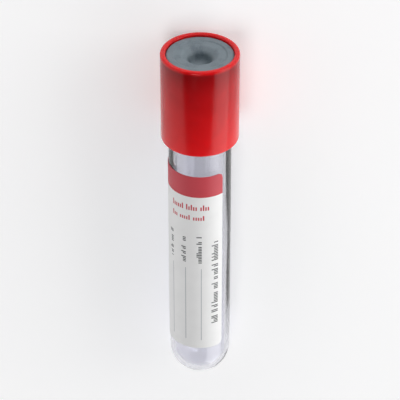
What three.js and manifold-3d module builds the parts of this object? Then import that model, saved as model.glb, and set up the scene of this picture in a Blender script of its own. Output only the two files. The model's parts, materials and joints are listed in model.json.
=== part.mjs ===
// A vacuum blood collection tube: a clear tube with a round closed end, a paper label wrapped part of
// the way round it, and a closure made of a grey rubber stopper held in a red plastic cap.
// Each piece is turned or wrapped round the Z axis, with the closed end at z = 0 and the closure at the
// top. The finished tube can't stand on its round end, so the whole of it is then laid on its side, where
// it rests on the closed end and on the lower edge of the cap. Millimetres, +Z up.

import * as THREE from "three";
import { mergeVertices } from "three/addons/utils/BufferGeometryUtils.js";
import Module from "manifold-3d";

// ---------------------------------------------------------------- driving dimensions, in millimetres

// Tube
const TUBE_LENGTH = 75; // closed end to mouth
const TUBE_DIAMETER = 13; // outside
const TUBE_WALL = 1;
const MOUTH_ROUND = 0.35; // on both edges of the mouth

// Stopper
const HEAD_HEIGHT = 5.2; // the head stands on the mouth
const HEAD_ROUND = 0.4; // its upper edge
const DISH_MARGIN = 1.3; // from the head's side to the shallow dish in its top
const DISH_DEPTH = 0.25;
const WELL_DIAMETER = 7.2; // the needle's well, in the middle of the dish
const WELL_DEPTH = 3.2; // below the dish
const THROAT_DIAMETER = 4.9; // the well narrows to its throat
const THROAT_DEPTH = 0.9; // below the dish
const FLOOR_DIAMETER = 4.2;
const DIAPHRAGM = 3.6; // rubber left between the well and the cavity
const PLUG_LENGTH = 9.5; // the plug reaches into the bore
const PLUG_WALL = 2; // round the cavity, which is open towards the tube
const PLUG_CHAMFER = 0.9;
const SEAL_RINGS = 3; // rings round the plug, which press on the bore
const SEAL_RING_HEIGHT = 1.2;
const SEAL_RING_STEP = 0.3; // how far a ring stands out of the plug

// Cap
const CAP_HEIGHT = 20;
const CAP_WALL = 1.1;
const CAP_RIM_STEP = 0.45; // how far its rim stands above the stopper
const CAP_TOP_ROUND = 0.45;
const CAP_FOOT_ROUND = 0.5;
const CAP_BORE_CHAMFER = 0.25; // at both ends of its bore
const SKIRT_GAP = 0.4; // its bore to the tube, each side
const BEAD_HEIGHT = 1.6; // the ring in its bore that holds the stopper's head
const BEAD_BITE = 0.4;
const RIB_COUNT = 8; // ribs in its skirt, which keep it central on the tube
const RIB_WIDTH = 0.8;
const RIB_FOOT_GAP = 1.6; // from the skirt's lower edge to the ribs

// Label
const LABEL_WIDTH = 17; // round the tube
const LABEL_THICKNESS = 0.1;
const LABEL_CORNER = 1.2;
const LABEL_BELOW_CAP = 5.8;
const LABEL_ABOVE_ROUND = 3.4; // from where the closed end starts to round
const LABEL_TURN = 30; // degrees from the side that faces up, towards +Y

// Clearances
const BORE_CLEARANCE = 0.05; // seal rings to bore, each side
const SEAT_CLEARANCE = 0.05; // the head to the mouth, and to the cap
const RIB_CLEARANCE = 0.12; // ribs to tube, each side
const GLUE_LINE = 0.05; // label to tube

// Fineness
const SIDES = 16; // flat sides round the axis: a multiple of 4, so that the tube lies on one of them
const END_STEPS = 10; // along the round of the closed end
const EDGE_STEPS = 4; // along a rounded edge
const LABEL_COLUMNS = 36;

// ---------------------------------------------------------------- sizes and places that follow

const tubeRadius = TUBE_DIAMETER / 2;
const boreRadius = tubeRadius - TUBE_WALL;
const mouthZ = TUBE_LENGTH;

const ringRadius = boreRadius - BORE_CLEARANCE;
const plugRadius = ringRadius - SEAL_RING_STEP;
const headFootZ = mouthZ + SEAT_CLEARANCE;
const headTopZ = headFootZ + HEAD_HEIGHT;
const plugEndZ = headFootZ - PLUG_LENGTH;
const beadZ = (headFootZ + headTopZ) / 2;

const capBoreRadius = tubeRadius + SKIRT_GAP;
const capRadius = capBoreRadius + CAP_WALL;
const capTopZ = headTopZ + CAP_RIM_STEP;
const capFootZ = capTopZ - CAP_HEIGHT;
const headRadius = capBoreRadius - SEAT_CLEARANCE;

const labelTopZ = capFootZ - LABEL_BELOW_CAP;
const labelFootZ = tubeRadius + LABEL_ABOVE_ROUND;

// ---------------------------------------------------------------- helpers

// The points of a round of given radius about a centre, from one angle to another in degrees. In a
// profile x is the distance from the axis, and y the height.
function round(x, y, radius, from, to, steps = EDGE_STEPS) {
  const { degToRad } = THREE.MathUtils;
  const arc = new THREE.EllipseCurve(x, y, radius, radius, degToRad(from), degToRad(to), to < from);
  return arc.getPoints(steps);
}

const at = (x, y) => new THREE.Vector2(x, y);

// The body that a profile sweeps round the Z axis. Half a side of turn puts flat sides on X and Y.
function turned(profile) {
  return new THREE.LatheGeometry(profile, SIDES, Math.PI / SIDES).rotateX(Math.PI / 2);
}

const wasm = await Module();
wasm.setup();

// A closed three.js geometry as a manifold-3d solid.
function solid(geometry) {
  const bare = geometry.clone();
  bare.deleteAttribute("normal");
  bare.deleteAttribute("uv");
  const merged = mergeVertices(bare);
  return new wasm.Manifold(
    new wasm.Mesh({
      numProp: 3,
      vertProperties: merged.attributes.position.array,
      triVerts: new Uint32Array(merged.index.array),
    }),
  );
}

// A manifold-3d solid as a three.js geometry.
function geometryOf(body) {
  const mesh = body.getMesh();
  return new THREE.BufferGeometry()
    .setAttribute("position", new THREE.BufferAttribute(mesh.vertProperties, 3))
    .setIndex(new THREE.BufferAttribute(mesh.triVerts, 1));
}

function named(name, geometry, look) {
  geometry.computeVertexNormals();
  const mesh = new THREE.Mesh(geometry, new THREE.MeshStandardMaterial(look));
  mesh.name = name;
  return mesh;
}

// ---------------------------------------------------------------- the pieces

// One moulding: a half sphere outside and inside, straight walls, and a rounded mouth.
function tube() {
  const shoulderZ = mouthZ - MOUTH_ROUND;
  return turned([
    ...round(0, tubeRadius, tubeRadius, -90, 0, END_STEPS),
    ...round(tubeRadius - MOUTH_ROUND, shoulderZ, MOUTH_ROUND, 0, 90),
    ...round(boreRadius + MOUTH_ROUND, shoulderZ, MOUTH_ROUND, 90, 180),
    ...round(0, tubeRadius, boreRadius, 0, -90, END_STEPS),
  ]);
}

// The plug's side from its chamfered end up to the head, with the seal rings spread along it.
function plugSide() {
  const pitch = (PLUG_LENGTH - PLUG_CHAMFER) / SEAL_RINGS;
  const half = Math.min(SEAL_RING_HEIGHT, pitch - 2 * SEAL_RING_STEP) / 2;
  const side = [at(plugRadius - PLUG_CHAMFER, plugEndZ), at(plugRadius, plugEndZ + PLUG_CHAMFER)];
  for (let i = 0; i < SEAL_RINGS; i++) {
    const z = plugEndZ + PLUG_CHAMFER + pitch * (i + 0.5);
    side.push(
      at(plugRadius, z - half - SEAL_RING_STEP),
      at(ringRadius, z - half),
      at(ringRadius, z + half),
      at(plugRadius, z + half + SEAL_RING_STEP),
    );
  }
  return [...side, at(plugRadius, headFootZ)];
}

// The head's side from its foot to its top, with the groove that the cap's bead sits in.
function headSide() {
  const grooveRadius = headRadius - BEAD_BITE;
  const half = BEAD_HEIGHT / 2 + SEAT_CLEARANCE;
  return [
    at(headRadius, headFootZ),
    at(headRadius, beadZ - half),
    at(grooveRadius, beadZ - half + BEAD_BITE),
    at(grooveRadius, beadZ + half - BEAD_BITE),
    at(headRadius, beadZ + half),
    ...round(headRadius - HEAD_ROUND, headTopZ - HEAD_ROUND, HEAD_ROUND, 0, 90),
  ];
}

// One rubber moulding. A needle is guided by the well and goes through the diaphragm under it.
function stopper() {
  const dishZ = headTopZ - DISH_DEPTH;
  const floorZ = dishZ - WELL_DEPTH;
  const roofZ = floorZ - DIAPHRAGM;
  const cavityRadius = plugRadius - PLUG_WALL;
  const dishRadius = headRadius - DISH_MARGIN;
  return turned([
    at(0, roofZ),
    at(cavityRadius, roofZ),
    at(cavityRadius, plugEndZ),
    ...plugSide(),
    ...headSide(),
    at(dishRadius, headTopZ),
    at(dishRadius - DISH_DEPTH, dishZ),
    at(WELL_DIAMETER / 2, dishZ),
    at(THROAT_DIAMETER / 2, dishZ - THROAT_DEPTH),
    at(FLOOR_DIAMETER / 2, floorZ),
    at(0, floorZ),
  ]);
}

// The cap's sleeve, open at both ends, with the bead that holds the stopper's head.
function sleeve() {
  const beadRadius = capBoreRadius - BEAD_BITE;
  const half = BEAD_HEIGHT / 2;
  const chamferRadius = capBoreRadius + CAP_BORE_CHAMFER;
  return turned([
    at(chamferRadius, capFootZ),
    ...round(capRadius - CAP_FOOT_ROUND, capFootZ + CAP_FOOT_ROUND, CAP_FOOT_ROUND, -90, 0),
    ...round(capRadius - CAP_TOP_ROUND, capTopZ - CAP_TOP_ROUND, CAP_TOP_ROUND, 0, 90),
    at(chamferRadius, capTopZ),
    at(capBoreRadius, capTopZ - CAP_BORE_CHAMFER),
    at(capBoreRadius, beadZ + half),
    at(beadRadius, beadZ + half - BEAD_BITE),
    at(beadRadius, beadZ - half + BEAD_BITE),
    at(capBoreRadius, beadZ - half),
    at(capBoreRadius, capFootZ + CAP_BORE_CHAMFER),
    at(chamferRadius, capFootZ),
  ]);
}

// One plastic moulding: the sleeve, with ribs in its skirt. A rib is rooted half a wall deep.
function cap() {
  const tipRadius = tubeRadius + RIB_CLEARANCE;
  const rootRadius = capBoreRadius + CAP_WALL / 2;
  const footZ = capFootZ + RIB_FOOT_GAP;
  const topZ = mouthZ - MOUTH_ROUND;
  const rib = new THREE.BoxGeometry(rootRadius - tipRadius, RIB_WIDTH, topZ - footZ);
  rib.translate((rootRadius + tipRadius) / 2, 0, (topZ + footZ) / 2);
  let body = solid(sleeve());
  for (let i = 0; i < RIB_COUNT; i++) {
    body = body.add(solid(rib));
    rib.rotateZ((2 * Math.PI) / RIB_COUNT);
  }
  return geometryOf(body);
}

// A sheet with round corners, wrapped round the tube with its middle facing -X.
function label() {
  const height = labelTopZ - labelFootZ;
  const radius = tubeRadius + GLUE_LINE;
  const straight = LABEL_WIDTH / 2 - LABEL_CORNER;
  const sheet = new THREE.BoxGeometry(LABEL_WIDTH, height, LABEL_THICKNESS, LABEL_COLUMNS);
  const place = sheet.attributes.position;
  for (let i = 0; i < place.count; i++) {
    const across = place.getX(i);
    const past = Math.max(Math.abs(across) - straight, 0);
    const drop = LABEL_CORNER - Math.sqrt(Math.max(LABEL_CORNER ** 2 - past ** 2, 0));
    const up = Math.sign(place.getY(i)) * (height / 2 - drop);
    const out = radius + LABEL_THICKNESS / 2 + place.getZ(i);
    const angle = across / radius;
    place.setXYZ(i, -out * Math.cos(angle), -out * Math.sin(angle), up);
  }
  return sheet.translate(0, 0, (labelTopZ + labelFootZ) / 2);
}

// ---------------------------------------------------------------- assembly

// How far the axis rises towards the closure when the closed end and the cap's lower edge both touch
// the ground: the slope of the line that is tangent to the end's round and to the edge's round. The
// tube lies on a flat side, whose distance from the axis is the radius times inset.
function restingSlope() {
  const inset = Math.cos(Math.PI / SIDES);
  const out = (capRadius - CAP_FOOT_ROUND) * inset;
  const along = capFootZ + CAP_FOOT_ROUND - tubeRadius;
  const reach = Math.hypot(out, along);
  return Math.acos(((tubeRadius - CAP_FOOT_ROUND) * inset) / reach) - Math.atan2(along, out);
}

const wrapped = named("label", label(), { color: 0xf1f0ef, roughness: 0.55 });
wrapped.rotation.z = -THREE.MathUtils.degToRad(LABEL_TURN);

const upright = new THREE.Group();
upright.add(
  named("tube", tube(), { color: 0xdfe4e8, roughness: 0.05, transparent: true, opacity: 0.3 }),
  named("stopper", stopper(), { color: 0x7c8589, roughness: 0.7 }),
  named("cap", cap(), { color: 0xb3151b, roughness: 0.22 }),
  wrapped,
);
upright.rotation.y = Math.PI / 2 - restingSlope();

// The origin is on the ground, under the middle of the tube's box.
const bloodTube = new THREE.Group();
bloodTube.add(upright);
const box = new THREE.Box3().setFromObject(bloodTube, true);
const middle = box.getCenter(new THREE.Vector3());
upright.position.set(-middle.x, -middle.y, -box.min.z);

export default bloodTube;
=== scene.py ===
# %% [markdown]
# # A blood collection tube
#
# The real object is four things: a clear tube that was injection moulded with a round closed end, a
# paper label stuck part of the way round it, a grey rubber stopper that closes the mouth, and a red
# plastic cap that holds the stopper and hides the joint. This lesson models each of them over the plain
# solids that already fix its size and place, gives each its finish, and lights it as in a small studio.
#
# The solids come first. They are the frame: nothing here moves or resizes them.

import json
import math

import bpy
from mathutils import Matrix, Vector


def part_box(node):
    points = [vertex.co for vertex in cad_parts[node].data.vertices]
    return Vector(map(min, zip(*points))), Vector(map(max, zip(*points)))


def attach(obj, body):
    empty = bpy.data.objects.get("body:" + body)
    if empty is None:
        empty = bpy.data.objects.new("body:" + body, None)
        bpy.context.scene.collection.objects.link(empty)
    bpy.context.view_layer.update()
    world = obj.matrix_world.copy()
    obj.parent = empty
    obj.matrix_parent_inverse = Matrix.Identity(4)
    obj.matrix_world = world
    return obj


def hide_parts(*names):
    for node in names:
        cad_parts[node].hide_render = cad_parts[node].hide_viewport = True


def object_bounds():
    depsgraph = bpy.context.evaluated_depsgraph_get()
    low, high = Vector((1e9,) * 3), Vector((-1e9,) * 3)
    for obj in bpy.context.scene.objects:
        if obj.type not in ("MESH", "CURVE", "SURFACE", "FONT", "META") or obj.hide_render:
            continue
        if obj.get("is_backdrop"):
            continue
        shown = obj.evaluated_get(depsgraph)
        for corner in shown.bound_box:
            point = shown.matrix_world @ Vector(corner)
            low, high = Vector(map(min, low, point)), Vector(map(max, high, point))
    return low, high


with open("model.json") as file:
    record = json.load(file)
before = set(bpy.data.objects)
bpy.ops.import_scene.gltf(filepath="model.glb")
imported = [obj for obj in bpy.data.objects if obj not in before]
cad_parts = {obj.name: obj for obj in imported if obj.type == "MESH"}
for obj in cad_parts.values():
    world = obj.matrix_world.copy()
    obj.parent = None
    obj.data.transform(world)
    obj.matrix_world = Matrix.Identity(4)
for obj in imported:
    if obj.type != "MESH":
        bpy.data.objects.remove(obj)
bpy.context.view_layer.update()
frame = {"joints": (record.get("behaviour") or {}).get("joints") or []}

# %% [markdown]
# A turned piece is easiest to think of when it stands up, so each one is modelled standing on its
# closed end round the Z axis, in millimetres, which are the sizes that a tool maker would write down.
# One matrix then lays the finished piece where its solid lies.
#
# That matrix needs two things from the frame: the direction of the tube's axis, which is the way that
# the closure is pulled off, and one point on it. The middle of the cap's box is such a point, because
# the cap is the same all round.

# %% The way from a standing piece in millimetres to its place in the frame
MILLIMETRE = 0.001
CAP_TOP = 80.7
CAP_FOOT = 60.7

axis = Vector(frame["joints"][0]["axis"]).normalized()
cap_low, cap_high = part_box("cap")
cap_middle = (cap_low + cap_high) / 2
standing_middle = Vector((0, 0, (CAP_TOP + CAP_FOOT) / 2))

laid_down = (
    Matrix.Translation(cap_middle)
    @ Matrix.Rotation(math.atan2(axis.x, axis.z), 4, "Y")
    @ Matrix.Scale(MILLIMETRE, 4)
    @ Matrix.Translation(-standing_middle)
)
print("axis", axis, "closed end at", laid_down @ Vector((0, 0, 0)))

# %% [markdown]
# Three of the four pieces are round, as if turned on a lathe. Such a piece could be made from a
# cylinder, but every step in its side would need its own cut. It is quicker to draw half of its section
# beside the axis, as a wire, and to spin the wire all the way round.
#
# The wire starts as a plane that is merged to one point. That point is extruded from corner to corner,
# and a vertex bevel then rounds the corners that are round on the real piece, each by its own radius.
# A wide round, such as the closed end of the tube, is made in more steps than an eased edge.

# %% Draw a section and spin it
MERGE_WITHIN = 0.002
ROUND_STEPS = 8
WIDE_ROUND = 3.0
WIDE_ROUND_STEPS = 24


def choose(piece, wanted, kind="vertices"):
    """Selects, in edit mode, just the points or faces that the function wanted says yes to."""
    bpy.ops.mesh.select_mode(type={"vertices": "VERT", "polygons": "FACE"}[kind])
    bpy.ops.mesh.select_all(action="DESELECT")
    bpy.ops.object.mode_set(mode="OBJECT")
    chosen = [part for part in getattr(piece.data, kind) if wanted(part)]
    for part in chosen:
        part.select = True
    bpy.ops.object.mode_set(mode="EDIT")
    return len(chosen)


def draw_section(name, corners):
    """A wire beside the Z axis, from corners of (distance from the axis, height, radius of round)."""
    bpy.ops.object.select_all(action="DESELECT")
    bpy.ops.mesh.primitive_plane_add(size=1)
    piece = bpy.context.object
    piece.name = name
    bpy.ops.object.mode_set(mode="EDIT")
    bpy.ops.mesh.merge(type="CENTER")
    points = [Vector((out, 0, up)) for out, up, _ in corners]
    bpy.ops.transform.translate(value=points[0])
    for here, there in zip(points, points[1:]):
        bpy.ops.mesh.extrude_region_move(TRANSFORM_OT_translate={"value": there - here})
    for point, (_, _, rounding) in zip(points, corners):
        if rounding:
            choose(piece, lambda vertex: (vertex.co - point).length < MERGE_WITHIN)
            steps = WIDE_ROUND_STEPS if rounding > WIDE_ROUND else ROUND_STEPS
            bpy.ops.mesh.bevel(
                offset=rounding, offset_type="OFFSET", segments=steps, affect="VERTICES"
            )
    return piece


def spin_section(piece, sides):
    """Turns the wire into a closed skin with its faces pointing out."""
    bpy.ops.mesh.select_all(action="SELECT")
    bpy.ops.mesh.spin(steps=sides, angle=math.tau, center=(0, 0, 0), axis=(0, 0, 1))
    bpy.ops.mesh.select_all(action="SELECT")
    bpy.ops.mesh.remove_doubles(threshold=MERGE_WITHIN)
    bpy.ops.mesh.normals_make_consistent(inside=False)
    bpy.ops.object.mode_set(mode="OBJECT")


# %% [markdown]
# When a piece is done it is laid in its place, and that place is applied, so that the object itself
# sits at the origin, unturned and unscaled. It then rides on a body of the frame, so that it moves with
# it, and it takes the place of its plain solid.

# %% Finish a piece
SHARP_ANGLE = math.radians(40)


def finish_piece(piece, body, node):
    """Lays a standing piece down, smooths its round faces, and hands it to the frame."""
    piece.matrix_world = laid_down @ piece.matrix_world
    bpy.ops.object.select_all(action="DESELECT")
    piece.select_set(True)
    bpy.context.view_layer.objects.active = piece
    bpy.ops.object.transform_apply(location=True, rotation=True, scale=True)
    bpy.ops.object.shade_smooth_by_angle(angle=SHARP_ANGLE)
    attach(piece, body)
    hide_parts(node)
    size = [round(side / MILLIMETRE, 2) for side in piece.dimensions]
    print(piece.name, "is", size, "mm, with", len(piece.data.polygons), "faces")


# %% [markdown]
# ## The tube
#
# The tube is one moulding in clear plastic. Its outside and its inside both end in a half sphere, so
# the wall is as thick there as along the sides, and the mouth is rounded where the stopper slides in.
# A corner whose round is as large as the tube's radius becomes the whole closed end: the same bevel
# that eases an edge also makes the dome.

# %% The moulded tube
TUBE_RADIUS = 6.5
TUBE_WALL = 1.0
TUBE_LENGTH = 75.0
MOUTH_ROUND = 0.35
TUBE_SIDES = 144

bore_radius = TUBE_RADIUS - TUBE_WALL

moulded_tube = draw_section(
    "moulded_tube",
    [
        (0, 0, 0),
        (TUBE_RADIUS, 0, TUBE_RADIUS),
        (TUBE_RADIUS, TUBE_LENGTH, MOUTH_ROUND),
        (bore_radius, TUBE_LENGTH, MOUTH_ROUND),
        (bore_radius, TUBE_WALL, bore_radius),
        (0, TUBE_WALL, 0),
    ],
)
spin_section(moulded_tube, TUBE_SIDES)
finish_piece(moulded_tube, "vessel", "tube")

# %% [markdown]
# ## The stopper
#
# The stopper is one rubber moulding. Its head stands on the mouth of the tube, its plug reaches into
# the bore, and three rings round the plug press on the smooth wall and keep the vacuum in. Rubber
# leaves its mould with soft edges, so nearly every corner of this section has a round.
#
# It has more corners than the tube, so they are written in three stretches. The first is the side of
# the plug. Its rings repeat, so a loop writes their corners.

# %% The plug's side
PLUG_RADIUS = 5.15
PLUG_END = 65.55
PLUG_CHAMFER = 0.9
PLUG_ROUND = 0.3
RING_RADIUS = 5.45
RING_HALF = 0.6
RING_COUNT = 3
EDGE_ROUND = 0.25
CORNER_ROUND = 0.1
HEAD_FOOT = 75.05

ring_step = RING_RADIUS - PLUG_RADIUS
ring_pitch = (HEAD_FOOT - PLUG_END - PLUG_CHAMFER) / RING_COUNT

plug_side = [
    (PLUG_RADIUS - PLUG_CHAMFER, PLUG_END, EDGE_ROUND),
    (PLUG_RADIUS, PLUG_END + PLUG_CHAMFER, PLUG_ROUND),
]
for ring in range(RING_COUNT):
    ring_middle = PLUG_END + PLUG_CHAMFER + ring_pitch * (ring + 0.5)
    plug_side += [
        (PLUG_RADIUS, ring_middle - RING_HALF - ring_step, CORNER_ROUND),
        (RING_RADIUS, ring_middle - RING_HALF, EDGE_ROUND),
        (RING_RADIUS, ring_middle + RING_HALF, EDGE_ROUND),
        (PLUG_RADIUS, ring_middle + RING_HALF + ring_step, CORNER_ROUND),
    ]
print("the plug's side has", len(plug_side), "corners")

# %% [markdown]
# The second stretch is the side of the head. The groove in it is a running fit wider than the bead of
# the cap that snaps into it, and both are half way up the head.

# %% The head's side
HEAD_TOP = 80.25
HEAD_RADIUS = 6.85
HEAD_FOOT_ROUND = 0.15
HEAD_TOP_ROUND = 0.4
BEAD_MIDDLE = (HEAD_FOOT + HEAD_TOP) / 2
BEAD_HALF = 0.8
BEAD_BITE = 0.4
RUNNING_FIT = 0.05

groove_radius = HEAD_RADIUS - BEAD_BITE
groove_half = BEAD_HALF + RUNNING_FIT

head_side = [
    (PLUG_RADIUS, HEAD_FOOT, CORNER_ROUND),
    (HEAD_RADIUS, HEAD_FOOT, HEAD_FOOT_ROUND),
    (HEAD_RADIUS, BEAD_MIDDLE - groove_half, CORNER_ROUND),
    (groove_radius, BEAD_MIDDLE - groove_half + BEAD_BITE, CORNER_ROUND),
    (groove_radius, BEAD_MIDDLE + groove_half - BEAD_BITE, CORNER_ROUND),
    (HEAD_RADIUS, BEAD_MIDDLE + groove_half, CORNER_ROUND),
    (HEAD_RADIUS, HEAD_TOP, HEAD_TOP_ROUND),
]
print("the head's side has", len(head_side), "corners")

# %% [markdown]
# The third stretch is the top. A shallow dish and a deeper well lead the needle to the thin part in the
# middle. The well narrows in its throat and has a softly rounded floor.

# %% The way in for the needle
DISH_RADIUS = 5.55
DISH_DEPTH = 0.25
DISH_ROUND = 0.15
DISH_FLOOR_ROUND = 0.12
WELL_RADIUS = 3.6
WELL_ROUND = 0.35
THROAT_RADIUS = 2.45
THROAT_DEPTH = 0.9
THROAT_ROUND = 0.45
WELL_FLOOR = 76.8
WELL_FLOOR_RADIUS = 2.1
WELL_FLOOR_ROUND = 1.2

dish_floor = HEAD_TOP - DISH_DEPTH

needle_side = [
    (DISH_RADIUS, HEAD_TOP, DISH_ROUND),
    (DISH_RADIUS - DISH_DEPTH, dish_floor, DISH_FLOOR_ROUND),
    (WELL_RADIUS, dish_floor, WELL_ROUND),
    (THROAT_RADIUS, dish_floor - THROAT_DEPTH, THROAT_ROUND),
    (WELL_FLOOR_RADIUS, WELL_FLOOR, WELL_FLOOR_ROUND),
    (0, WELL_FLOOR, 0),
]
print("the well is", round(dish_floor - WELL_FLOOR, 2), "mm deep")

# %% [markdown]
# The plug is hollow from below, which lets the rubber give as it is pushed in. The wire starts on the
# axis, in the roof of that cavity, and comes back to the axis on the floor of the well.

# %% The rubber stopper
CAVITY_RADIUS = 3.15
CAVITY_ROOF = 73.2
CAVITY_ROOF_ROUND = 0.6
STOPPER_SIDES = 128

rubber_stopper = draw_section(
    "rubber_stopper",
    [
        (0, CAVITY_ROOF, 0),
        (CAVITY_RADIUS, CAVITY_ROOF, CAVITY_ROOF_ROUND),
        (CAVITY_RADIUS, PLUG_END, PLUG_ROUND),
        *plug_side,
        *head_side,
        *needle_side,
    ],
)
spin_section(rubber_stopper, STOPPER_SIDES)
finish_piece(rubber_stopper, "closure", "stopper")

# %% [markdown]
# ## The cap
#
# The cap is a sleeve, open at both ends, with a bead in its bore that snaps over the groove in the
# stopper's head. It has no start or end on the axis, so its section is a closed loop: the last corner
# comes back to the first, and merging the doubles joins them.
#
# Inside the skirt eight ribs keep the cap central on the tube. They could be boxes joined to the
# sleeve, but a moulded rib grows out of its wall. So the faces of the bore that a rib covers are
# extruded, and the new faces are scaled towards the axis. One move makes all eight. Faces to do that
# with have to be there first: the section has a corner at the rib's foot and one at its top, and the
# number of sides is a multiple of the number of ribs.

# %% The moulded cap
CAP_RADIUS = 8.0
CAP_BORE = 6.9
CAP_TOP_ROUND = 0.45
CAP_FOOT_ROUND = 0.5
BORE_CHAMFER = 0.25
BORE_ROUND = 0.08
BEAD_ROUND = 0.15
RIB_COUNT = 8
RIB_COLUMNS = 3
RIB_TIP = 6.62
RIB_FOOT = 62.3
RIB_TOP = 74.65
CAP_SIDES = 160

bead_radius = CAP_BORE - BEAD_BITE

moulded_cap = draw_section(
    "moulded_cap",
    [
        (CAP_BORE + BORE_CHAMFER, CAP_FOOT, 0),
        (CAP_RADIUS, CAP_FOOT, CAP_FOOT_ROUND),
        (CAP_RADIUS, CAP_TOP, CAP_TOP_ROUND),
        (CAP_BORE + BORE_CHAMFER, CAP_TOP, BORE_ROUND),
        (CAP_BORE, CAP_TOP - BORE_CHAMFER, BORE_ROUND),
        (CAP_BORE, BEAD_MIDDLE + BEAD_HALF, 0),
        (bead_radius, BEAD_MIDDLE + BEAD_HALF - BEAD_BITE, BEAD_ROUND),
        (bead_radius, BEAD_MIDDLE - BEAD_HALF + BEAD_BITE, BEAD_ROUND),
        (CAP_BORE, BEAD_MIDDLE - BEAD_HALF, 0),
        (CAP_BORE, RIB_TOP, 0),
        (CAP_BORE, RIB_FOOT, 0),
        (CAP_BORE, CAP_FOOT + BORE_CHAMFER, BORE_ROUND),
        (CAP_BORE + BORE_CHAMFER, CAP_FOOT, 0),
    ],
)
spin_section(moulded_cap, CAP_SIDES)


def under_a_rib(face):
    """Whether a face of the bore is one of those that a rib grows out of."""
    out = math.hypot(face.center.x, face.center.y)
    column = math.atan2(face.center.y, face.center.x) / math.tau * CAP_SIDES
    between_ribs = CAP_SIDES / RIB_COUNT
    from_rib = abs((column + between_ribs / 2) % between_ribs - between_ribs / 2)
    high_enough = RIB_FOOT < face.center.z < RIB_TOP
    return high_enough and out < CAP_BORE + BORE_CHAMFER and from_rib < RIB_COLUMNS / 2


bpy.ops.object.mode_set(mode="EDIT")
print("faces under the ribs:", choose(moulded_cap, under_a_rib, "polygons"))
bpy.ops.mesh.extrude_region_move()
towards_axis = RIB_TIP / CAP_BORE
bpy.ops.transform.resize(value=(towards_axis, towards_axis, 1), center_override=(0, 0, 0))
bpy.ops.object.mode_set(mode="OBJECT")
finish_piece(moulded_cap, "closure", "cap")

# %% [markdown]
# ## The label
#
# The label is a strip of coated paper with round corners, cut by a die, printed flat and then rolled on
# to the tube. It is made the same way here: a flat sheet first, its corners rounded, cut into narrow
# strips so that it can bend, marked with a map of itself in millimetres for the print, and only then
# bent and given its thickness.
#
# The map is set before the bend, while the sheet is still flat. Its first number is the distance from
# the left edge and its second the distance down from the top, with the closure up. The two material
# slots are made before the thickness too, because Solidify can only give the back a slot that exists.
#
# A quarter turn brings the middle of the label to the top of the lying tube. LABEL_TURN, in degrees,
# turns it on from there to one side, which leaves a clear strip of the tube beside it.

# %% The paper label
LABEL_WIDTH = 17.0
LABEL_TOP = 54.9
LABEL_FOOT = 9.9
LABEL_CORNER = 1.2
LABEL_CORNER_STEPS = 12
LABEL_THICKNESS = 0.1
LABEL_INSIDE = 6.55
LABEL_TURN = 30
LABEL_STRIPS = 48
LABEL_MAP = "label_millimetres"
PRINTED_SIDE = 0
GLUED_SIDE = 1

label_height = LABEL_TOP - LABEL_FOOT

bpy.ops.object.select_all(action="DESELECT")
bpy.ops.mesh.primitive_plane_add(size=1, rotation=(math.radians(90), 0, 0))
paper_label = bpy.context.object
paper_label.name = "paper_label"
paper_label.scale = (LABEL_WIDTH, label_height, 1)
bpy.ops.object.transform_apply(location=False, rotation=True, scale=True)
bpy.ops.object.mode_set(mode="EDIT")
bpy.ops.mesh.select_all(action="SELECT")
bpy.ops.mesh.bevel(
    offset=LABEL_CORNER, offset_type="OFFSET", segments=LABEL_CORNER_STEPS, affect="VERTICES"
)
for strip in range(1, LABEL_STRIPS):
    cut_at = LABEL_WIDTH * (strip / LABEL_STRIPS - 0.5)
    bpy.ops.mesh.select_all(action="SELECT")
    bpy.ops.mesh.bisect(plane_co=(cut_at, 0, 0), plane_no=(1, 0, 0))
bpy.ops.object.mode_set(mode="OBJECT")

paper = paper_label.data
label_map = paper.uv_layers.new(name=LABEL_MAP)
for loop in paper.loops:
    point = paper.vertices[loop.vertex_index].co
    label_map.data[loop.index].uv = (point.x + LABEL_WIDTH / 2, label_height / 2 - point.z)

for _ in (PRINTED_SIDE, GLUED_SIDE):
    paper.materials.append(None)

bend = paper_label.modifiers.new("bend", "SIMPLE_DEFORM")
bend.deform_method = "BEND"
bend.deform_axis = "Z"
bend.angle = LABEL_WIDTH / LABEL_INSIDE
bpy.ops.object.modifier_apply(modifier=bend.name)

thicken = paper_label.modifiers.new("thicken", "SOLIDIFY")
thicken.thickness = LABEL_THICKNESS
thicken.offset = 1
thicken.material_offset = GLUED_SIDE
bpy.ops.object.modifier_apply(modifier=thicken.name)

label_middle = (LABEL_TOP + LABEL_FOOT) / 2
onto_the_wall = Matrix.Translation((0, -LABEL_INSIDE, label_middle))
round_the_tube = Matrix.Rotation(math.radians(-90 - LABEL_TURN), 4, "Z")
paper_label.matrix_world = round_the_tube @ onto_the_wall
finish_piece(paper_label, "vessel", "label")

# %% [markdown]
# ## Finishes
#
# Every finish starts from what the real surface is and how it was made. Colours are written as hex
# codes, as a paint chart has them, and one function turns them to the linear light that the sockets
# take. Another adds a node with its settings and what feeds it, so that each finish reads as a short
# recipe. Patterns are placed on the piece itself and their scales are worked out from real sizes.

# %% Colours and nodes


def linear(code):
    """The linear colour of a hex code such as #C4161C."""
    parts = [int(code[start : start + 2], 16) / 255 for start in (1, 3, 5)]
    light = [p / 12.92 if p <= 0.04045 else ((p + 0.055) / 1.055) ** 2.4 for p in parts]
    return (*light, 1.0)


def add(tree, kind, feeds=None, **settings):
    """Adds a node. feeds maps an input's name or number to its value or to the output it reads."""
    made = tree.nodes.new("ShaderNode" + kind)
    for name, value in settings.items():
        setattr(made, name, value)
    for name, value in (feeds or {}).items():
        if isinstance(value, bpy.types.NodeSocket):
            tree.links.new(value, made.inputs[name])
        else:
            made.inputs[name].default_value = value
    return made


def new_finish(name):
    """An empty material, and its node tree, with the shader and the output still to be added."""
    finish = bpy.data.materials.new(name)
    finish.use_nodes = True
    finish.node_tree.nodes.clear()
    return finish, finish.node_tree


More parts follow.
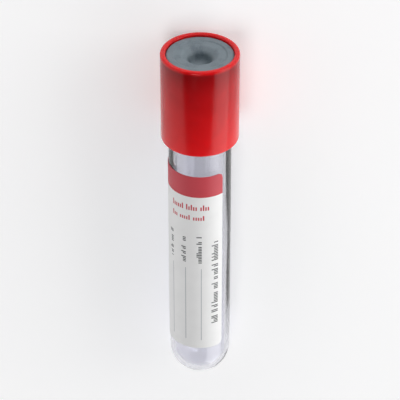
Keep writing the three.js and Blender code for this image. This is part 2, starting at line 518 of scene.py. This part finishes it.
def per_millimetre(size):
    """The scale of a pattern whose grains are size millimetres across."""
    return 1 / (size * MILLIMETRE)


# %% [markdown]
# ### Moulded polyester (PET)
#
# The tube is clear PET, moulded against polished steel. It bends light like glass with an index of
# 1.575, its surface is nearly a mirror, and the flow of the melt leaves long faint waves in it that
# make reflections tremble along the tube. Handling adds a very fine haze. The plastic takes a little of
# the light away and looks a touch cool.
#
# A lamp's light would only reach the floor under a real refracting tube by chance paths that take very
# long to find, so shadow rays pass straight through a thin tint instead.

# %% Clear moulded PET
FLOW_WAVE = 5.0
FLOW_STRETCH = 0.12
FLOW_DEPTH = 0.4
HAZE_GRAIN = 0.6


def clear_moulded_pet():
    """Clear plastic with long waves in its surface and a fine haze."""
    finish, tree = new_finish("clear_moulded_pet")
    place = add(tree, "TexCoord").outputs["Object"]
    along = add(tree, "Mapping", {"Vector": place, "Scale": (FLOW_STRETCH, 1, 1)})
    waves = add(
        tree,
        "TexNoise",
        {"Vector": along.outputs[0], "Scale": per_millimetre(FLOW_WAVE), "Detail": 1.0},
    )
    haze = add(
        tree,
        "TexNoise",
        {"Vector": place, "Scale": per_millimetre(HAZE_GRAIN), "Detail": 4.0},
    )
    rough = add(
        tree,
        "MapRange",
        {0: haze.outputs[0], "From Min": 0.35, "From Max": 0.7, "To Min": 0.02, "To Max": 0.06},
    )
    bump = add(
        tree,
        "Bump",
        {"Height": waves.outputs[0], "Strength": 0.25, "Distance": FLOW_DEPTH * MILLIMETRE},
    )
    plastic = add(
        tree,
        "BsdfPrincipled",
        {
            "Base Color": linear("#E8E8EE"),
            "Roughness": rough.outputs[0],
            "IOR": 1.575,
            "Transmission Weight": 1.0,
            "Normal": bump.outputs[0],
        },
    )
    thin_tint = add(tree, "BsdfTransparent", {"Color": linear("#DEDFE5")})
    ray = add(tree, "LightPath")
    mixed = add(
        tree,
        "MixShader",
        {0: ray.outputs["Is Shadow Ray"], 1: plastic.outputs[0], 2: thin_tint.outputs[0]},
    )
    add(tree, "OutputMaterial", {"Surface": mixed.outputs[0]})
    return finish


moulded_tube.data.materials.append(clear_moulded_pet())

# %% [markdown]
# ### Moulded bromobutyl rubber
#
# The stopper is bromobutyl rubber filled with clay and a little carbon black. It comes out of a fine
# matt mould, so it scatters light almost evenly, and the filler shows as darker specks. The real ones
# are too fine to be seen from here, so they are drawn about a tenth of a millimetre across. A thin film
# of silicone makes the rubber a little smoother in places.

# %% Grey bromobutyl rubber
FILLER_SPECK = 0.12
SPECK_DEPTH = 0.05
RUBBER_CLOUD = 2.5


def bromobutyl_rubber():
    """Matt grey rubber with specks of filler and soft clouds."""
    finish, tree = new_finish("bromobutyl_rubber")
    place = add(tree, "TexCoord").outputs["Object"]
    specks = add(
        tree,
        "TexNoise",
        {"Vector": place, "Scale": per_millimetre(FILLER_SPECK), "Detail": 3.0},
    )
    clouds = add(
        tree,
        "TexNoise",
        {"Vector": place, "Scale": per_millimetre(RUBBER_CLOUD), "Detail": 2.0},
    )
    both = add(
        tree,
        "Math",
        {0: specks.outputs[0], 1: clouds.outputs[0]},
        operation="ADD",
    )
    colour = add(tree, "ValToRGB", {0: both.outputs[0]})
    ramp = colour.color_ramp
    ramp.elements[0].position = 0.75
    ramp.elements[0].color = linear("#4E5A62")
    ramp.elements[1].position = 1.0
    ramp.elements[1].color = linear("#687379")
    rough = add(
        tree,
        "MapRange",
        {0: clouds.outputs[0], "From Min": 0.3, "From Max": 0.7, "To Min": 0.5, "To Max": 0.68},
    )
    bump = add(
        tree,
        "Bump",
        {"Height": specks.outputs[0], "Strength": 0.35, "Distance": SPECK_DEPTH * MILLIMETRE},
    )
    rubber = add(
        tree,
        "BsdfPrincipled",
        {
            "Base Color": colour.outputs[0],
            "Roughness": rough.outputs[0],
            "IOR": 1.52,
            "Normal": bump.outputs[0],
        },
    )
    add(tree, "OutputMaterial", {"Surface": rubber.outputs[0]})
    return finish


rubber_stopper.data.materials.append(bromobutyl_rubber())

# %% [markdown]
# ### Moulded polypropylene
#
# The cap is polypropylene, coloured through with a red pigment and moulded against polished steel, so
# it is glossy but not as sharp as paint: the plastic shrinks as it cools and leaves a faint orange peel.
# Its skin is a little waxy, so it mirrors less than its index of 1.49 alone would give, and its red
# stays full where lamps and table are mirrored in it. The pigment isn't mixed in perfectly, so it is a
# little darker in places. Light sinks a short way in and comes out redder.
#
# The wall is thin enough to let some light through, and here that light is painted into the red as
# painted light and shade rather than rendered. The red is painted brightest at the open foot, where
# there is only the clear tube, deeper along the plug, and deepest round the grey head of the stopper,
# as painted shade. The free rim above the head is painted bright again. A ramp has these colours, and
# the height above the cap's foot, as a share of the whole cap, says which one it is. A ramp is never
# empty, so one of its first two stops goes before the new ones are in and the other after.

# %% Red moulded polypropylene
PIGMENT_DRIFT = 6.0
ORANGE_PEEL = 0.7
PEEL_DEPTH = 0.05
SCUFF_GRAIN = 1.6
LIGHT_SINKS = 2.0
WAXY_GLOSS = 0.3
RIM_BRIGHTENS_OVER = 0.45
# Painted light and shade: the red is bright at the foot, a painted shade round the head, bright again at
# the rim.
PAINTED_LIGHT_BY_HEIGHT = [
    (CAP_FOOT, "#E8191E"),
    (PLUG_END, "#D9161B"),
    (HEAD_FOOT, "#BA1015"),
    (HEAD_TOP - RIM_BRIGHTENS_OVER, "#8F090E"),
    (HEAD_TOP, "#C41217"),
]


def painted_light_by_height(tree, place):
    """The cap's red with painted light and shade, from the foot to the rim."""
    middle = cap_middle.dot(axis)
    half = (CAP_TOP - CAP_FOOT) / 2 * MILLIMETRE
    along = add(tree, "VectorMath", {0: place, 1: axis}, operation="DOT_PRODUCT").outputs["Value"]
    share = add(tree, "MapRange", {0: along, "From Min": middle - half, "From Max": middle + half})
    colour = add(tree, "ValToRGB", {0: share.outputs[0]})
    stops = colour.color_ramp.elements
    stops.remove(stops[0])
    for height, code in PAINTED_LIGHT_BY_HEIGHT:
        stops.new((height - CAP_FOOT) / (CAP_TOP - CAP_FOOT)).color = linear(code)
    stops.remove(stops[-1])
    return colour.outputs[0]


def red_polypropylene():
    """Waxy red plastic with a faint orange peel, some light under its skin, and painted light and shade
    along it.
    """
    finish, tree = new_finish("red_polypropylene")
    place = add(tree, "TexCoord").outputs["Object"]
    drift = add(
        tree,
        "TexNoise",
        {"Vector": place, "Scale": per_millimetre(PIGMENT_DRIFT), "Detail": 2.0, "Distortion": 0.8},
    )
    pigment = add(
        tree,
        "MapRange",
        {0: drift.outputs[0], "From Min": 0.35, "From Max": 0.65, "To Min": 0.9, "To Max": 1.0},
    )
    # The base colour carries the painted light and shade along the cap.
    colour = add(
        tree,
        "VectorMath",
        {0: painted_light_by_height(tree, place), "Scale": pigment.outputs[0]},
        operation="SCALE",
    )
    scuffs = add(
        tree,
        "TexNoise",
        {"Vector": place, "Scale": per_millimetre(SCUFF_GRAIN), "Detail": 5.0},
    )
    rough = add(
        tree,
        "MapRange",
        {0: scuffs.outputs[0], "From Min": 0.35, "From Max": 0.7, "To Min": 0.13, "To Max": 0.24},
    )
    peel = add(
        tree,
        "TexNoise",
        {"Vector": place, "Scale": per_millimetre(ORANGE_PEEL), "Detail": 1.0},
    )
    bump = add(
        tree,
        "Bump",
        {"Height": peel.outputs[0], "Strength": 0.12, "Distance": PEEL_DEPTH * MILLIMETRE},
    )
    plastic = add(
        tree,
        "BsdfPrincipled",
        {
            "Base Color": colour.outputs[0],
            "Roughness": rough.outputs[0],
            "IOR": 1.49,
            "Specular IOR Level": WAXY_GLOSS,
            "Subsurface Weight": 0.6,
            "Subsurface Radius": (1.0, 0.12, 0.08),
            "Subsurface Scale": LIGHT_SINKS * MILLIMETRE,
            "Normal": bump.outputs[0],
        },
    )
    add(tree, "OutputMaterial", {"Surface": plastic.outputs[0]})
    return finish


moulded_cap.data.materials.append(red_polypropylene())

# %% [markdown]
# ### Printed coated paper
#
# The label is white paper with a thin clay coating, which gives it a soft sheen over its fibres. The
# print is generic: a red band across the top, two short red lines under it, and rows of small dark
# marks that run along the tube, the short ones with a thin grey rule after them. Nothing on it can be
# read.
#
# The marks are bars, drawn by a little function that works for a line in either direction. A cell of
# the line holds one bar. White noise says which bars are short, and wider noise leaves gaps between
# groups of bars, as between words.

# %% Bars of print
INK_SHARE = 0.6
SHORT_BY = 0.35
SHORT_SHARE = 0.65
GROUP_SCALE = 0.33
GROUP_FROM = 0.44


def inside(tree, value, low, high):
    """1 where value lies between low and high, and 0 elsewhere."""
    middle = (low + high) / 2
    feeds = {0: value, 1: middle, 2: (high - low) / 2}
    return add(tree, "Math", feeds, operation="COMPARE").outputs[0]


def product(tree, first, second):
    """1 where both masks are 1."""
    return add(tree, "Math", {0: first, 1: second}, operation="MULTIPLY").outputs[0]


def bars(tree, along, across, start, end, base, height, pitch):
    """A mask of bars from start to end along one axis, which stand on a line at base on the other."""
    scaled = add(tree, "Math", {0: along, 1: 1 / pitch}, operation="MULTIPLY").outputs[0]
    cell = add(tree, "Math", {0: scaled}, operation="FLOOR").outputs[0]
    in_cell = add(tree, "Math", {0: scaled}, operation="FRACT").outputs[0]
    seed = add(tree, "Math", {0: cell, 1: base}, operation="ADD").outputs[0]
    chance = add(tree, "TexWhiteNoise", {"W": seed}, noise_dimensions="1D").outputs["Value"]
    groups = add(
        tree,
        "TexNoise",
        {"W": seed, "Scale": GROUP_SCALE, "Detail": 0.0},
        noise_dimensions="1D",
    )
    in_group = inside(tree, groups.outputs[0], GROUP_FROM, 1.0)
    short = add(tree, "Math", {0: chance, 1: SHORT_SHARE}, operation="LESS_THAN").outputs[0]
    less_if_short = {0: short, 1: -height * SHORT_BY, 2: height}
    bar_height = add(tree, "Math", less_if_short, operation="MULTIPLY_ADD").outputs[0]
    above = add(tree, "Math", {0: base, 1: across}, operation="SUBTRACT").outputs[0]
    over_base = add(tree, "Math", {0: above, 1: 0.0}, operation="GREATER_THAN").outputs[0]
    under_top = add(tree, "Math", {0: above, 1: bar_height}, operation="LESS_THAN").outputs[0]
    in_height = product(tree, over_base, under_top)
    in_bar = inside(tree, in_cell, 0, INK_SHARE)
    in_line = inside(tree, along, start, end)
    return product(tree, product(tree, in_bar, in_height), product(tree, in_group, in_line))


# %% [markdown]
# The layout is a short list, in millimetres from the label's left edge and from its top. The band
# starts outside the label, as print that runs off a sheet does. A red line is its base and its height,
# and a row is its base, its two ends and its height. Each ink is laid over the paper in turn, as a press
# does it.

# %% The print's layout
PAPER_WHITE = "#F0F0EF"
BAND_TOP = -1.0
BAND_FOOT = 5.1
INK_RED = "#C63F4A"
INK_DARK = "#24272C"
RULE_GREY = "#B9BBBF"
RED_LINES = [(8.4, 1.4), (10.9, 1.2)]
RED_LINE_START = 5.3
RED_LINE_END = 14.0
RED_PITCH = 0.5
ROWS = [
    (5.5, 15.0, 22.0, 1.1),
    (8.9, 15.0, 22.0, 1.1),
    (12.3, 15.0, 22.0, 1.1),
    (15.9, 16.8, 38.8, 1.5),
]
ROW_PITCH = 0.42
RULE_START = 23.5
RULE_END = 42.8
RULE_WIDTH = 0.18


def printed_colour(tree):
    """The paper's colour with each ink laid over it."""
    on_label = add(tree, "UVMap", uv_map=LABEL_MAP)
    parts = add(tree, "SeparateXYZ", {0: on_label.outputs[0]})
    across, down = parts.outputs[0], parts.outputs[1]
    inks = [(inside(tree, down, BAND_TOP, BAND_FOOT), INK_RED)]
    for base, height in RED_LINES:
        line = bars(tree, across, down, RED_LINE_START, RED_LINE_END, base, height, RED_PITCH)
        inks.append((line, INK_RED))
    for base, start, end, height in ROWS:
        inks.append((bars(tree, down, across, start, end, base, height, ROW_PITCH), INK_DARK))
        if end < RULE_START:  # only a short row leaves room for a rule
            on_rule = inside(tree, across, base - RULE_WIDTH, base)
            rule = product(tree, on_rule, inside(tree, down, RULE_START, RULE_END))
            inks.append((rule, RULE_GREY))
    colour = linear(PAPER_WHITE)
    for mask, ink in inks:
        laid = add(tree, "Mix", {0: mask, 6: colour, 7: linear(ink)}, data_type="RGBA")
        colour = laid.outputs[2]
    return colour


# %% [markdown]
# The coating hides most of the fibres, so they show as a slight unevenness in the gloss and in the
# surface more than in the colour. They are drawn coarser than real fibres, a quarter of a millimetre
# across, so that they show at all. The back of the label, which shows through the tube, is plain
# uncoated paper under a film of glue, and rougher than the front.

# %% Coated and bare paper
FIBRE = 0.25
FIBRE_DEPTH = 0.03
PAPER_CLOUD = 3.0
BARE_FLECK = 0.5


def paper_finish(name, colour_of, smoothest, roughest):
    """Paper with fibres in its surface. colour_of is the function that makes its colour."""
    finish, tree = new_finish(name)
    place = add(tree, "TexCoord").outputs["Object"]
    fibres = add(
        tree,
        "TexNoise",
        {"Vector": place, "Scale": per_millimetre(FIBRE), "Detail": 5.0, "Roughness": 0.7},
    )
    clouds = add(
        tree,
        "TexNoise",
        {"Vector": place, "Scale": per_millimetre(PAPER_CLOUD), "Detail": 2.0},
    )
    shade = add(
        tree,
        "MapRange",
        {0: clouds.outputs[0], "From Min": 0.3, "From Max": 0.7, "To Min": 0.965, "To Max": 1.0},
    )
    toned = add(
        tree,
        "Mix",
        {0: 1.0, 6: colour_of(tree), 7: shade.outputs[0]},
        data_type="RGBA",
        blend_type="MULTIPLY",
    )
    rough = add(
        tree,
        "MapRange",
        {
            0: fibres.outputs[0],
            "From Min": 0.3,
            "From Max": 0.7,
            "To Min": smoothest,
            "To Max": roughest,
        },
    )
    bump = add(
        tree,
        "Bump",
        {"Height": fibres.outputs[0], "Strength": 0.3, "Distance": FIBRE_DEPTH * MILLIMETRE},
    )
    paper = add(
        tree,
        "BsdfPrincipled",
        {
            "Base Color": toned.outputs[2],
            "Roughness": rough.outputs[0],
            "IOR": 1.5,
            "Normal": bump.outputs[0],
        },
    )
    add(tree, "OutputMaterial", {"Surface": paper.outputs[0]})
    return finish


def plain_back(tree):
    """The colour of uncoated paper, with a few darker fibres in it."""
    place = add(tree, "TexCoord").outputs["Object"]
    specks = add(tree, "TexNoise", {"Vector": place, "Scale": per_millimetre(BARE_FLECK)})
    return add(
        tree,
        "Mix",
        {0: specks.outputs[0], 6: linear("#E4E3DF"), 7: linear("#EFEEEB")},
        data_type="RGBA",
    ).outputs[2]


paper.materials[PRINTED_SIDE] = paper_finish("coated_label_paper", printed_colour, 0.38, 0.55)
paper.materials[GLUED_SIDE] = paper_finish("bare_label_back", plain_back, 0.7, 0.85)

# %% [markdown]
# ## The studio
#
# The tube lies on a wide table top of matt white board, which takes its shadow. A faint glow that only
# the camera, reflections and refractions see makes the board nearly white without any more light on the
# tube. Farther out the board fades to the plain tone of the room behind it, so no horizon shows, however
# low the camera goes. From here on sizes are in metres, apart from the grain of the board.

# %% The table top
BACKDROP = "#F6F6F6"
TABLE_SIZE = 6.0
BOARD_GRAIN = 2.0
TABLE_LIFT = 0.23
TABLE_LIT_WITHIN = 0.05
TABLE_PLAIN_BEYOND = 0.12


def seen_share(tree, ceiling=0.0):
    """1 for the camera's rays and refracted ones; mirrored ones lose the ceiling's share of it."""
    ray = add(tree, "LightPath").outputs
    mirrored = {0: ray["Is Glossy Ray"], 1: ceiling}
    share = add(tree, "Math", mirrored, operation="SUBTRACT").outputs[0]
    for kind in ("Is Camera Ray", "Is Transmission Ray"):
        share = add(tree, "Math", {0: share, 1: ray[kind]}, operation="MAXIMUM").outputs[0]
    return share


def matt_table():
    """White board that takes the shadow near the tube and is as plain as the room farther out."""
    finish, tree = new_finish("matt_white_table")
    place = add(tree, "TexCoord").outputs["Object"]
    grain = add(
        tree,
        "TexNoise",
        {"Vector": place, "Scale": per_millimetre(BOARD_GRAIN), "Detail": 3.0},
    )
    tone = add(
        tree,
        "Mix",
        {0: grain.outputs[0], 6: linear("#F2F2F2"), 7: linear("#F6F6F6")},
        data_type="RGBA",
    )
    white = add(
        tree,
        "BsdfPrincipled",
        {"Base Color": tone.outputs[2], "Roughness": 0.9, "Specular IOR Level": 0.0},
    )
    lift = add(tree, "Math", {0: seen_share(tree), 1: TABLE_LIFT}, operation="MULTIPLY")
    glow = add(tree, "Emission", {"Strength": lift.outputs[0]})
    lifted = add(tree, "AddShader", {0: white.outputs[0], 1: glow.outputs[0]})
    backdrop = add(tree, "Emission", {"Color": linear(BACKDROP)})
    away = add(tree, "VectorMath", {0: place}, operation="LENGTH").outputs["Value"]
    fade = add(
        tree,
        "MapRange",
        {0: away, "From Min": TABLE_LIT_WITHIN, "From Max": TABLE_PLAIN_BEYOND},
        interpolation_type="SMOOTHSTEP",
    )
    faded = add(
        tree,
        "MixShader",
        {0: fade.outputs[0], 1: lifted.outputs[0], 2: backdrop.outputs[0]},
    )
    add(tree, "OutputMaterial", {"Surface": faded.outputs[0]})
    return finish


def add_table():
    """A plane under the lowest point of the tube, with its edges far outside any view."""
    low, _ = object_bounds()
    bpy.ops.object.select_all(action="DESELECT")
    bpy.ops.mesh.primitive_plane_add(size=TABLE_SIZE, location=(0, 0, low.z))
    table = bpy.context.object
    table.name = "table_top"
    table.data.materials.append(matt_table())
    table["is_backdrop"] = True


add_table()

# %% [markdown]
# Four soft lamps light it. A wide key lamp and a side lamp stand on one side of the tube, and the cap's
# gloss shows them as its bright side. A low wide one faces the closure: it lights the top of the stopper
# but only grazes the wall of the needle's well, so the well stays dark. Gloss doesn't mirror that one,
# because from the closed end its glare would turn the top of the cap white. A small lamp overhead fills
# the label.
#
# The room gives the rest, bright near the horizon and dark overhead: the middle of the cap mirrors what
# is overhead, and the darkness there is what keeps its red deep. The camera sees the room in the plain
# tone of the backdrop, also through the clear tube, and low down the gloss mirrors it too.

# %% Lamps and room
TARGET = Vector((0, 0, 0.008))


def add_lamp(name, place, width, length, watts, mirrored=True):
    """A rectangular soft lamp that points at the tube. mirrored says whether gloss shows it."""
    light = bpy.data.lights.new(name, "AREA")
    light.shape = "RECTANGLE"
    light.size = width
    light.size_y = length
    light.energy = watts
    lamp = bpy.data.objects.new(name, light)
    bpy.context.scene.collection.objects.link(lamp)
    lamp.location = place
    lamp.rotation_euler = (Vector(place) - TARGET).to_track_quat("Z", "Y").to_euler()
    lamp.visible_glossy = mirrored


add_lamp("key_lamp", (-0.45, -0.54, 0.27), 0.90, 0.60, 2.0)
add_lamp("side_lamp", (0.30, -0.72, 0.26), 0.60, 0.45, 2.1)
add_lamp("closure_lamp", (0.70, -0.08, 0.14), 1.20, 0.24, 3.5, mirrored=False)
add_lamp("fill_lamp", (-0.04, 0.12, 0.70), 0.30, 0.30, 1.35)

BRIGHT_BELOW = 0.48
DARK_ABOVE = 0.60
LOW_LIGHT = (0.72, 0.72, 0.73, 1)
CEILING_LIGHT = (0.06, 0.06, 0.065, 1)


def add_room():
    """Bright low down and dark overhead as light, and of one plain tone where it is seen."""
    room = bpy.data.worlds.new("pale_room")
    bpy.context.scene.world = room
    room.use_nodes = True
    tree = room.node_tree
    tree.nodes.clear()
    way = add(tree, "TexCoord").outputs["Generated"]
    height = add(tree, "SeparateXYZ", {0: way}).outputs[2]
    ceiling = add(
        tree,
        "MapRange",
        {0: height, "From Min": BRIGHT_BELOW, "From Max": DARK_ABOVE},
    ).outputs[0]
    tone = add(
        tree,
        "Mix",
        {0: ceiling, 6: LOW_LIGHT, 7: CEILING_LIGHT},
        data_type="RGBA",
    )
    lit = add(tree, "Background", {"Color": tone.outputs[2], "Strength": 1.0})
    seen = add(tree, "Background", {"Color": linear(BACKDROP), "Strength": 1.0})
    mixed = add(
        tree,
        "MixShader",
        {0: seen_share(tree, ceiling), 1: lit.outputs[0], 2: seen.outputs[0]},
    )
    add(tree, "OutputWorld", {"Surface": mixed.outputs[0]})


add_room()

# %% [markdown]
# The camera looks down on the lying tube from the closure's end, at the angle from which a standing
# tube shows its top as a flat oval and its label below it. Up in the picture is along the tube, with the
# closure at the top. The near end looks larger than the far one, so the camera aims a little past the
# middle, towards the closure, and the tube sits in the middle of the picture.

# %% The camera
CAMERA_DISTANCE = 0.42
CAMERA_RISE = math.radians(34)
FOCAL_LENGTH = 180
AIM_TOWARDS_CLOSURE = 0.0038
NEAREST_SEEN = 0.01


def add_camera():
    """A long lens that looks down on the tube, with the closure at the top of the view."""
    low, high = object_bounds()
    back = Vector((math.sin(CAMERA_RISE), 0, math.cos(CAMERA_RISE)))
    up = Vector((math.cos(CAMERA_RISE), 0, -math.sin(CAMERA_RISE)))
    aim = (low + high) / 2 + up * AIM_TOWARDS_CLOSURE
    right = up.cross(back)
    camera = bpy.data.objects.new("camera", bpy.data.cameras.new("camera"))
    camera.data.lens = FOCAL_LENGTH
    camera.data.clip_start = NEAREST_SEEN
    turned = Matrix((right, up, back)).transposed().to_4x4()
    camera.matrix_world = Matrix.Translation(aim + back * CAMERA_DISTANCE) @ turned
    bpy.context.scene.collection.objects.link(camera)
    bpy.context.scene.camera = camera


add_camera()
bpy.context.scene.view_settings.view_transform = "Standard"
